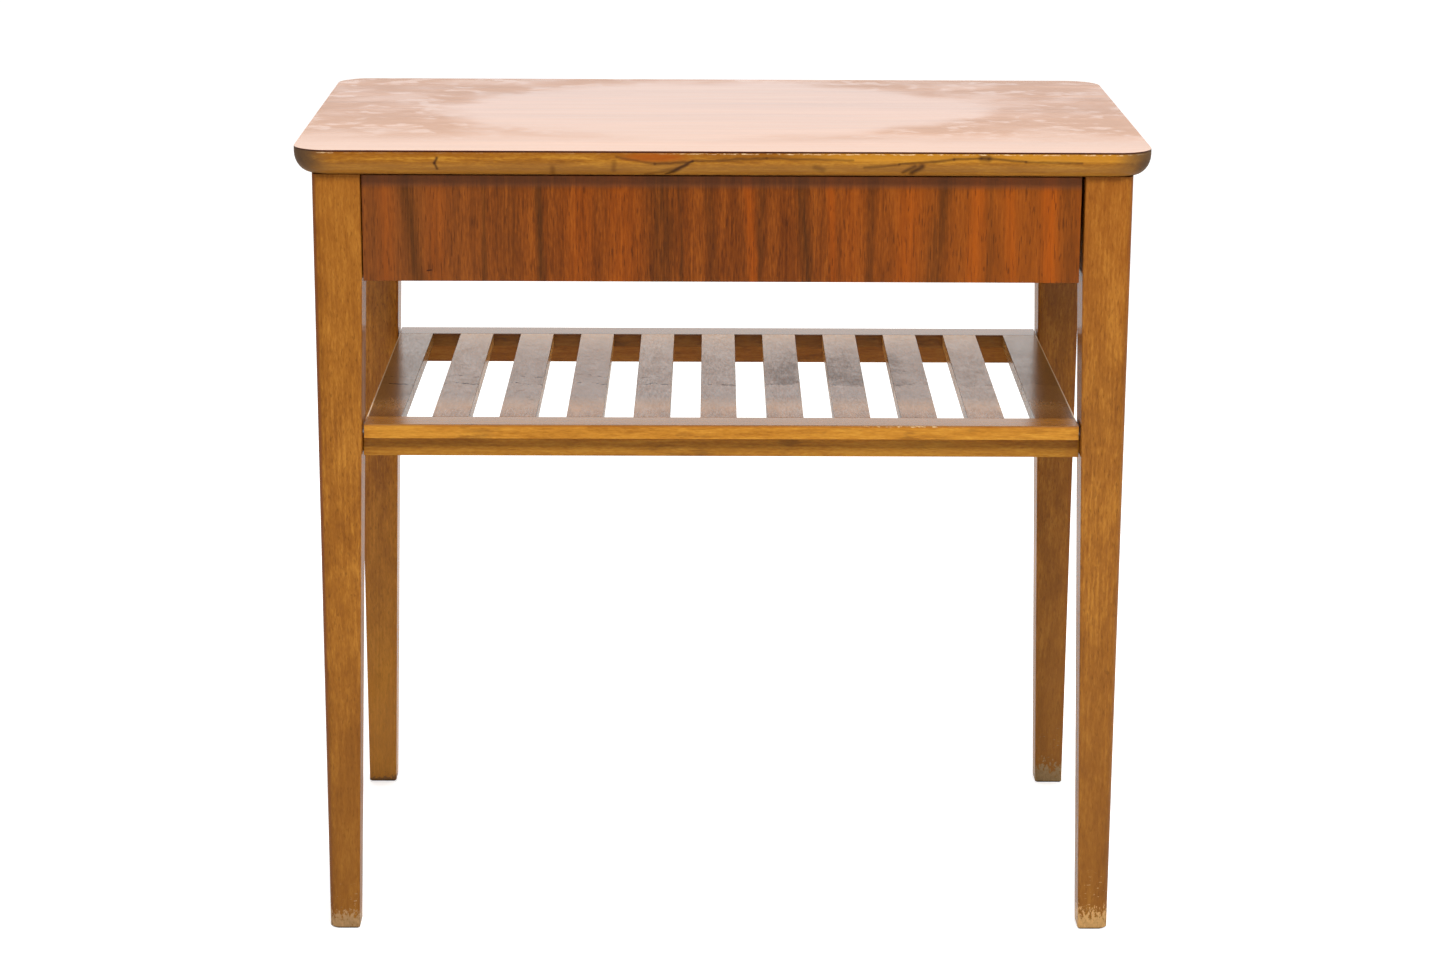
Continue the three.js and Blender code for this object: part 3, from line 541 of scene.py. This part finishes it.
def stained_wood(name, seed, axis, painted_light=1.0, used=False):
    """Beech stained brown under a glossy varnish, painted lighter or darker for its light. Used pieces get
    painted light and shade, and are marked where things were laid on them.
    """
    shader = Shader(name)
    place = shader.place()
    board = along_grain(shader, axis, seed)
    tone, fibre = figure(shader, board)
    colour = shader.tones(tone, [
        (0.36, darker(linear(104, 62, 24), painted_light)),
        (0.50, darker(linear(130, 82, 34), painted_light)),
        (0.64, darker(linear(154, 102, 46), painted_light)),
    ])
    dull = patches(shader, place, (60.0, 34.0, 1.0), 4.0, 0.6, shift=(seed, 0, 0))
    grain = stretched(shader, board, 0.0012, 0.007, detail=3.0)
    scuffs = patches(shader, place, (90.0, 520.0, 0.0), 4.0, 0.6)
    coat = shader.times(
        shader.span(dull, 0.35, 0.65, 1.0, 0.90),
        shader.span(grain, 0.38, 0.62, 0.80, 1.04),
        shader.span(scuffs, 0.54, 0.68, 1.0, 0.74),
    )
    if used:
        colour, coat = use_marks(shader, place, dull, painted_light, colour, coat)
        colour, coat = shaded_corners_pale_arrises(shader, place, colour, coat)
    return shader.finish(colour, 0.36, fibre, 0.015 * MM, **dict(GLOSS_VARNISH, coat_weight=coat))


# How much each long piece of the shelf is painted lighter or darker for the light it gets, in red, green
# and blue: painted light and shade.
RAIL_PAINTED_LIGHT = {
    "shelf_rail_front": (1.04, 1.04, 1.04),
    "shelf_rail_rear": (0.43, 0.41, 0.56),
    "stretcher_front": (0.72, 0.72, 0.72),
    "stretcher_rear": (0.58, 0.50, 0.60),
}


def rail_wood(name, seed, painted_light_shares, top, chipped):
    """A golden rail or stretcher of the shelf, stained like the slats on its upper side."""
    shader = Shader(name)
    place = shader.place()
    board = along_grain(shader, "X", seed)
    tone, fibre = figure(shader, board, (0.009, 0.060), (0.0012, 0.012))
    # Painted light and shade: the wood is made lighter or darker by the piece's shares.
    colour = shader.tones(tone, [
        (0.36, tinted(linear(170, 108, 30), painted_light_shares)),
        (0.50, tinted(linear(196, 131, 42), painted_light_shares)),
        (0.64, tinted(linear(216, 154, 56), painted_light_shares)),
    ])
    height = shader.axis(place, 2)
    stained = shader.span(height, top - 0.9 * MM, top - 0.3 * MM, 0.0, 0.8)
    colour = shader.mix(stained, colour, linear(132, 84, 32))
    grime = patches(shader, place, (26.0, 60.0, 120.0), 4.0, 0.6, shift=(seed, 0, 0))
    grime = shader.span(grime, 0.56, 0.72, 0.0, 0.45)
    colour = shader.mix(grime, colour, tinted(linear(96, 62, 26), painted_light_shares))
    ruddy = shader.times(shader.bell(height, top - 1.1 * MM, 0.8 * MM), 0.6)
    colour = shader.mix(ruddy, colour, tinted(linear(160, 86, 22), painted_light_shares))
    if chipped:
        chips = shader.times(
            shader.span(patches(shader, place, (260.0, 260.0, 500.0), 4.0, 0.7), 0.50, 0.60),
            shader.bell(shader.axis(place, 0), 0.135, 0.05),
            shader.bell(height, top - 0.8 * MM, 0.8 * MM),
        )
        colour = shader.mix(chips, colour, linear(255, 226, 170))
    varnish = dict(GLOSS_VARNISH, coat_weight=shader.span(stained, 0.0, 0.8, 0.12, 1.0))
    return shader.finish(colour, 0.36, fibre, 0.015 * MM, **varnish)


def top_haze(shader, place):
    """How hazy the top is: not in the clear oval or at the front, less in spots. Also the spots' noise."""
    depth = shader.axis(place, 1)
    across = shader.maths("DIVIDE", shader.axis(place, 0), CLEAR_OVAL["half_width"])
    deep = shader.maths("SUBTRACT", depth, CLEAR_OVAL["centre"])
    deep = shader.maths("DIVIDE", deep, CLEAR_OVAL["half_depth"])
    squares = [(shader.times(part, part), 1.0) for part in (across, deep)]
    out = shader.maths("SQRT", weighted(shader, squares))
    ragged = patches(shader, place, (7.0, 12.0, 1.0), 4.0)
    spots = patches(shader, place, (16.0, 24.0, 1.0), 5.0, 0.6, shift=(3.0, 1.0, 0.0))
    wisps = patches(shader, place, (44.0, 60.0, 1.0), 3.0, 0.6, shift=(1.0, 4.0, 0.0))
    haze = shader.times(
        shader.span(weighted(shader, [(out, 1.0), (ragged, 0.7)]), 1.20, 1.46),
        shader.span(depth, -0.170, -0.070),
        shader.span(spots, 0.38, 0.66, 1.0, 0.45),
        shader.span(wisps, 0.54, 0.64, 1.0, 0.3),
    )
    return haze, spots


def top_pits(shader, place, spots):
    """Small dark pits, where the spots are."""
    cells = {"Vector": shader.mapped(place, scale=(15.0, 22.0, 0.0)), "Scale": 1.0}
    pits = shader.span(shader.add("ShaderNodeTexVoronoi", cells, "Distance"), 0.010, 0.026, 1.0, 0.0)
    return shader.times(pits, shader.span(spots, 0.48, 0.52))


def top_wood():
    """The worn reddish veneer of the top: clear in a broad oval, hazy round it, with a dark cut edge."""
    shader = Shader("top_veneer_wood")
    place = shader.place()
    board = along_grain(shader, "X", 3.0)
    broad = stretched(shader, board, 0.020, 0.30, detail=4.0)
    fine = stretched(shader, board, 0.0022, 0.12, detail=4.0)
    fibre = fibres(shader, board, 700.0, 10.0)
    tone = weighted(shader, [(broad, 0.30), (fine, 0.50), (fibre, 0.2)])
    colour = shader.tones(tone, [
        (0.36, linear(138, 86, 52)),
        (0.50, linear(160, 104, 66)),
        (0.64, linear(180, 122, 82)),
    ])
    paler_band = shader.span(shader.axis(place, 1), -0.19, 0.06, 0.42, 0.0)
    colour = shader.mix(paler_band, colour, linear(196, 138, 86))
    haze, spots = top_haze(shader, place)
    colour = shader.mix(shader.times(haze, 0.55), colour, linear(144, 108, 82))
    pits = top_pits(shader, place, spots)
    colour = shader.mix(shader.times(pits, 0.8), colour, linear(70, 40, 30))
    drop = shader.maths("SUBTRACT", TABLE_TOP, shader.axis(place, 2))
    cut = shader.span(drop, 0.08 * MM, 0.18 * MM)
    colour = shader.mix(cut, colour, linear(66, 24, 20))
    # Painted reflection: the veneer is painted paler looked at along the top and darker brown from above,
    # standing in for the varnish's sheen.
    sheen_facing = shader.add("ShaderNodeLayerWeight", {"Blend": 0.5}, "Facing")
    colour = shader.mix(shader.span(sheen_facing, 0.1, 0.6, 0.45, 0.0), colour, linear(52, 22, 12))
    rough = weighted(shader, [(shader.span(fine, 0.3, 0.7, 0.30, 0.38), 1.0), (haze, 0.2)])
    coat = shader.times(
        shader.span(haze, 0.0, 1.0, 0.88, 0.40),
        shader.span(cut, 0.0, 1.0, 1.0, 0.0),
        shader.span(fine, 0.3, 0.7, 0.94, 1.06),
    )
    return shader.finish(colour, rough, fibre, 0.02 * MM, **dict(TOP_LACQUER, coat_weight=coat))


# Dark heartwood streaks of the drawer's veneer: place along X, half width, darkness, lean.
WALNUT_DARK = (
    (-0.218, 0.0055, 0.75, 0.10),
    (-0.167, 0.0020, 0.55, 0.00),
    (-0.129, 0.0030, 0.85, 0.04),
    (-0.150, 0.0080, 0.25, 0.00),
    (-0.042, 0.0090, 0.60, 0.00),
    (-0.029, 0.0016, 0.55, 0.00),
    (-0.008, 0.0040, 0.40, 0.03),
    (0.027, 0.0025, 0.50, -0.03),
    (0.057, 0.0050, 0.70, 0.05),
    (0.104, 0.0035, 0.45, 0.00),
    (0.152, 0.0060, 0.70, -0.10),
    (0.188, 0.0025, 0.35, 0.00),
    (0.243, 0.0070, 0.40, 0.00),
)

# Orange streaks between them, in the same terms.
WALNUT_ORANGE = (
    (-0.236, 0.0060, 0.35, 0.00),
    (-0.200, 0.0080, 0.30, 0.00),
    (-0.100, 0.0110, 0.40, 0.00),
    (-0.070, 0.0120, 0.45, 0.00),
    (0.020, 0.0040, 0.80, 0.06),
    (0.077, 0.0030, 0.75, 0.04),
    (0.090, 0.0080, 0.35, 0.00),
    (0.130, 0.0090, 0.60, -0.04),
    (0.178, 0.0060, 0.70, -0.04),
    (0.202, 0.0050, 0.65, 0.04),
    (0.229, 0.0060, 0.95, 0.05),
)


def streaks(shader, across, up, places):
    """The strongest of the soft upright stripes at each place."""
    total = 0.0
    for centre, half_width, strength, lean in places:
        line = shader.maths("ADD", across, shader.times(up, lean))
        stripe = shader.times(shader.bell(line, centre, half_width * 1.6), strength)
        total = shader.maths("MAXIMUM", stripe, total)
    return total


def drawer_face_wood():
    """Walnut veneer with its grain upright: dark heartwood streaks between orange ones."""
    shader = Shader("drawer_face_wood")
    place = shader.place()
    board = along_grain(shader, "Z", 5.0)
    waver = stretched(shader, board, 0.02, 0.05, detail=3.0)
    across = weighted(shader, [(shader.axis(place, 0), 1.0), (shader.maths("SUBTRACT", waver, 0.5), 0.008)])
    low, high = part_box("drawer_face_veneer")
    up = shader.maths("SUBTRACT", shader.axis(place, 2), (low.z + high.z) / 2)
    thin = stretched(shader, board, 0.0014, 0.030, detail=4.0)
    mid = stretched(shader, board, 0.007, 0.13, detail=3.0)
    speck = stretched(shader, board, 0.0009, 0.006, detail=1.0)
    fibre = fibres(shader, board, 1100.0, 16.0)
    tone = weighted(shader, [(mid, 0.38), (thin, 0.32), (speck, 0.26), (fibre, 0.04)])
    colour = shader.tones(tone, [
        (0.36, linear(94, 45, 13)),
        (0.50, linear(126, 63, 17)),
        (0.64, linear(156, 83, 24)),
    ])
    colour = shader.mix(shader.span(across, 0.04, 0.22, 0.0, 0.35), colour, linear(172, 90, 20))
    colour = shader.mix(shader.span(across, -0.24, -0.10, 0.35, 0.0), colour, linear(130, 80, 40))
    broken = shader.span(thin, 0.30, 0.62, 0.5, 1.0)
    orange = shader.times(streaks(shader, across, up, WALNUT_ORANGE), broken, 0.62)
    colour = shader.mix(orange, colour, linear(184, 86, 10))
    broken = shader.span(thin, 0.38, 0.70, 1.0, 0.5)
    dark = shader.times(streaks(shader, across, up, WALNUT_DARK), broken)
    colour = shader.mix(dark, colour, linear(68, 40, 16))
    dashes = pores(shader, board, 1000.0, 90.0)
    colour = shader.mix(shader.times(dashes, 0.5), colour, linear(62, 30, 12))
    upper_edge = (high.z - low.z) / 2
    # Painted shade: a grey-brown band under the top's overhang, where its shadow falls.
    shadow_band_tint = shader.span(up, upper_edge - 10 * MM, upper_edge - 5 * MM, 0.0, 0.6)
    colour = shader.mix(shadow_band_tint, colour, linear(120, 76, 50))
    mark = shader.stroke(across, up, (-0.2070, -0.0300), (-0.2040, -0.0296), 0.9 * MM)
    colour = shader.mix(mark, colour, linear(46, 20, 12))
    return shader.finish(colour, 0.42, fibre, 0.02 * MM, **SATIN_VARNISH)


def plain_wood(name, seed, axis, dark, light):
    """Planed wood with no finish."""
    shader = Shader(name)
    board = along_grain(shader, axis, seed)
    broad = stretched(shader, board, 0.020, 0.25, detail=3.0, distortion=0.4)
    thin = stretched(shader, board, 0.0018, 0.050, detail=3.0)
    ring = rings(shader, board, 5.0 * MM)
    fibre = fibres(shader, board)
    tone = weighted(shader, [(broad, 0.45), (thin, 0.35), (ring, 0.08), (fibre, 0.12)])
    colour = shader.tones(tone, [(0.36, dark), (0.62, light)])
    return shader.finish(colour, 0.62, fibre, 0.03 * MM)


def screw_metal():
    """Dull steel, slightly tarnished."""
    shader = Shader("tarnished_steel")
    stain = shader.noise(shader.place(), 700.0, 4.0)
    colour = shader.tones(stain, [(0.35, linear(92, 84, 74)), (0.65, linear(150, 146, 138))])
    rough = shader.span(stain, 0.3, 0.7, 0.5, 0.32)
    return shader.finish(colour, rough, stain, 0.02 * MM, metallic=1.0)


# ---------------------------------------------------------------- the pieces
# Each piece's wood gets a seed of its own, so that no two are cut from the same board.

SOFTWOOD = (linear(150, 112, 72), linear(188, 150, 104))
HARDWOOD = (linear(158, 124, 86), linear(190, 158, 116))
BIRCH_PLY = (linear(166, 130, 90), linear(194, 162, 120))


def show_top():
    show("top_veneer", top_wood(), ease=0.18 * MM)
    show("top_core", plain_wood("core_board_wood", 11.0, "X", *SOFTWOOD), ease=0)
    show("top_backing_veneer", plain_wood("backing_veneer_wood", 12.0, "X", *SOFTWOOD), ease=0)
    for seed, (side, axis) in enumerate((("front", "X"), ("rear", "X"), ("left", "Y"), ("right", "Y"))):
        wood = lipping_wood("lipping_wood_" + side, 20.0 + seed, axis, side == "front")
        show("lipping_" + side, wood, ease=0)


def show_frame():
    for seed, (place, looks) in enumerate(LEGS.items()):
        show("leg_" + place, leg_wood("leg_wood_" + place, 30.0 + seed, **looks), ease=0.5 * MM)
    for seed, (side, axis) in enumerate((("left", "Y"), ("right", "Y"), ("back", "X"))):
        show("apron_" + side, stained_wood("apron_wood_" + side, 40.0 + seed, axis))
    raw = (
        ("front_top_rail", "X"),
        ("glue_block_left", "Y"),
        ("glue_block_right", "Y"),
        ("glue_block_back_left", "X"),
        ("glue_block_back_right", "X"),
        ("drawer_runner_left", "Y"),
        ("drawer_runner_right", "Y"),
        ("drawer_stop_left", "Z"),
        ("drawer_stop_right", "Z"),
    )
    for seed, (node, axis) in enumerate(raw):
        show(node, plain_wood(node + "_raw", 50.0 + seed, axis, *SOFTWOOD))


def show_shelf():
    across = ["shelf_end_left", "shelf_end_right"] + [f"shelf_slat_{n}" for n in range(1, 10)]
    for seed, node in enumerate(across):
        # The end boards are painted darker: painted shade.
        painted_light = 0.6 if "end" in node else 1.0
        show(node, stained_wood(node + "_stained", 60.0 + seed, "Y", painted_light, used=True), ease=0.5 * MM)
    for seed, (node, painted_light_shares) in enumerate(RAIL_PAINTED_LIGHT.items()):
        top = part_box(node)[1].z
        chipped = node == "shelf_rail_front"
        show(node, rail_wood(node + "_stained", 80.0 + seed, painted_light_shares, top, chipped), ease=0.5 * MM)


def show_drawer():
    show("drawer_face_veneer", drawer_face_wood(), ease=0.3 * MM)
    show("drawer_front", plain_wood("drawer_front_raw", 90.0, "X", *HARDWOOD), ease=0)
    show("drawer_side_left", plain_wood("drawer_side_left_raw", 91.0, "Y", *HARDWOOD))
    show("drawer_side_right", plain_wood("drawer_side_right_raw", 92.0, "Y", *HARDWOOD))
    show("drawer_back", plain_wood("drawer_back_raw", 93.0, "X", *HARDWOOD))
    show("drawer_bottom", plain_wood("drawer_bottom_ply", 94.0, "X", *BIRCH_PLY))


def show_screws():
    metal = screw_metal()
    for node, piece in frame["nodes"].items():
        if "_screw_" in node:
            piece.data.materials.clear()
            piece.data.materials.append(metal)


# ---------------------------------------------------------------- floor, light and camera

def build_floor():
    mesh = bpy.data.meshes.new("floor")
    half = FLOOR_SIDE / 2
    corners = [(-half, -half, 0), (half, -half, 0), (half, half, 0), (-half, half, 0)]
    mesh.from_pydata(corners, [], [(0, 1, 2, 3)])
    floor = bpy.data.objects.new("floor", mesh)
    bpy.context.scene.collection.objects.link(floor)
    shader = Shader("pale_floor")
    mesh.materials.append(shader.finish(linear(226, 224, 222), 0.8, specular_ior_level=0.1))
    seen = shader.add("ShaderNodeLightPath", {}, "Is Camera Ray")
    mirrored = shader.add("ShaderNodeLightPath", {}, "Is Glossy Ray")
    surface = next(node for node in shader.nodes if node.type == "BSDF_PRINCIPLED")
    surface.inputs["Emission Color"].default_value = (1.0, 1.0, 1.0, 1.0)
    glow = weighted(shader, [(seen, FLOOR_GLOW), (mirrored, MIRRORED_GLOW)])
    shader.feed(surface.inputs["Emission Strength"], glow)


def build_surround():
    world = bpy.data.worlds.new("white_room")
    world.use_nodes = True
    tree = world.node_tree
    background = tree.nodes["Background"]
    background.inputs["Color"].default_value = (1.0, 1.0, 1.0, 1.0)
    direction = tree.nodes.new("ShaderNodeTexCoord")
    parts = tree.nodes.new("ShaderNodeSeparateXYZ")
    tree.links.new(direction.outputs["Generated"], parts.inputs[0])
    fall = tree.nodes.new("ShaderNodeMapRange")
    fall.interpolation_type = "SMOOTHSTEP"
    tree.links.new(parts.outputs["Y"], fall.inputs["Value"])
    spans = {
        "From Min": DIM_SIDE,
        "From Max": BRIGHT_SIDE,
        "To Min": DIM_RADIANCE,
        "To Max": BACKDROP_RADIANCE,
    }
    for name, value in spans.items():
        fall.inputs[name].default_value = value
    seen = tree.nodes.new("ShaderNodeLightPath")
    strength = tree.nodes.new("ShaderNodeMath")
    strength.operation = "MAXIMUM"
    tree.links.new(fall.outputs[0], strength.inputs[0])
    tree.links.new(seen.outputs["Is Camera Ray"], strength.inputs[1])
    tree.links.new(strength.outputs[0], background.inputs["Strength"])
    bpy.context.scene.world = world


def build_panel(name, place, aim, size, power):
    lamp = bpy.data.lights.new(name, "AREA")
    lamp.shape = "RECTANGLE"
    lamp.size, lamp.size_y = size
    lamp.energy = power
    panel = bpy.data.objects.new(name, lamp)
    panel.location = place
    panel.rotation_euler = (Vector(aim) - Vector(place)).to_track_quat("-Z", "Y").to_euler()
    bpy.context.scene.collection.objects.link(panel)


def build_camera():
    yaw, pitch, roll = CAMERA["yaw"], CAMERA["pitch"], CAMERA["roll"]
    look = Vector((math.sin(yaw) * math.cos(pitch), math.cos(yaw) * math.cos(pitch), -math.sin(pitch)))
    level = Vector((math.cos(yaw), -math.sin(yaw), 0.0))
    upright = level.cross(look)
    right = level * math.cos(roll) + upright * math.sin(roll)
    up = upright * math.cos(roll) - level * math.sin(roll)
    turn = Matrix((right, up, -look)).transposed()
    data = bpy.data.cameras.new("camera")
    data.lens = CAMERA["lens"]
    data.sensor_width = CAMERA["sensor"]
    camera = bpy.data.objects.new("camera", data)
    camera.matrix_world = Matrix.Translation(CAMERA["place"]) @ turn.to_4x4()
    bpy.context.scene.collection.objects.link(camera)
    bpy.context.scene.camera = camera


def build_studio():
    build_floor()
    build_surround()
    build_panel("key_light", **KEY_LIGHT)
    build_panel("top_light", **TOP_LIGHT)
    build_camera()
    view = bpy.context.scene.view_settings
    view.view_transform = "Standard"
    view.look = "None"


show_top()
show_frame()
show_shelf()
show_drawer()
show_screws()
build_studio()
